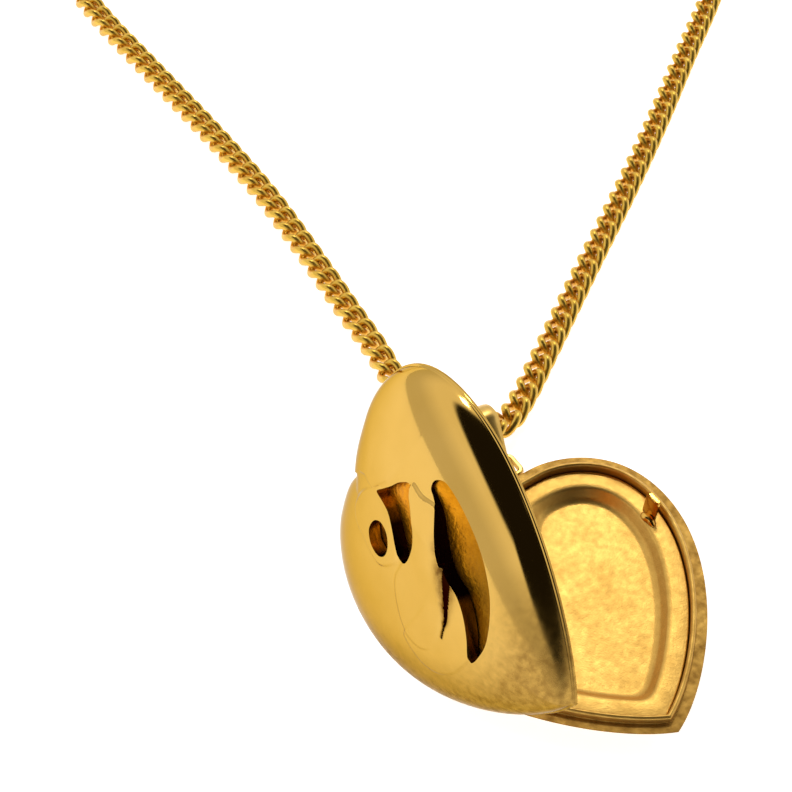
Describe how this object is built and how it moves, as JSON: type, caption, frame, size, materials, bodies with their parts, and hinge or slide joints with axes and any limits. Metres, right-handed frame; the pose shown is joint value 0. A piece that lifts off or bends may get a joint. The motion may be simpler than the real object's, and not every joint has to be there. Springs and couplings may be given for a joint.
{
  "type": "pendant necklace",
  "caption": "Heart-shaped locket, hinged at one lobe and shown open, with a swirl-relief domed cover, on a fine curb chain with a spring-ring clasp.",
  "frame": {"origin": "centre of the flat back face of the locket's back half, which rests on z = 0", "axes": "+Z out of the open tray; +Y from the heart's tip to its cleft; +X towards the lobe that carries the bail, away from the hinge"},
  "size_m": [0.14, 0.211, 0.0404],
  "materials": {
    "satin_gold": "satin gold plating, grainy and slightly worn",
    "polished_gold": "mirror-polished gold plating",
    "dull_gold": "matt unpolished gold plating",
    "chain_gold": "polished gold-plated curb links",
    "spring_steel": "plain drawn wire"
  },
  "bodies": {
    "locket": {"back_tray": "satin_gold", "well_plate": "satin_gold", "catch_tab": "polished_gold", "tray_knuckle_lower": "polished_gold", "tray_knuckle_upper": "polished_gold", "hinge_pin": "polished_gold", "bail_ring": "polished_gold"},
    "cover": {"front_cover": "polished_gold", "cover_liner": "dull_gold", "cover_knuckle": "polished_gold"},
    "bail": {"bail": "polished_gold"},
    "chain": {"chain_left": "chain_gold", "chain_right": "chain_gold", "clasp_ring": "chain_gold", "clasp_spring": "spring_steel", "clasp_eye": "chain_gold", "clasp_jump_ring": "chain_gold", "tag_jump_ring": "chain_gold"},
    "clasp_bolt": {"clasp_bolt": "chain_gold"}
  },
  "joints": [
    {"name": "cover_hinge", "type": "hinge", "parent": "locket", "child": "cover", "pos_m": [-0.0199, 0, 0.00245], "axis": [0, -1, 0], "range_deg": [-76.6, 50]},
    {"name": "bail_swing", "type": "hinge", "parent": "locket", "child": "bail", "pos_m": [0.0058, 0.02, 0.002], "axis": [1, 0, 0], "range_deg": [0, 60]},
    {"name": "chain_swing", "type": "hinge", "parent": "bail", "child": "chain", "pos_m": [0.0058, 0.0242, 0.00285], "axis": [1, 0, 0], "range_deg": [0, 20]},
    {"name": "bolt_slide", "type": "hinge", "parent": "chain", "child": "clasp_bolt", "pos_m": [0.06141, 0.18468, 0.00195], "axis": [0, 0, 1], "range_deg": [0, 40], "stiffness_Nm_per_rad": 0.0005}
  ]
}
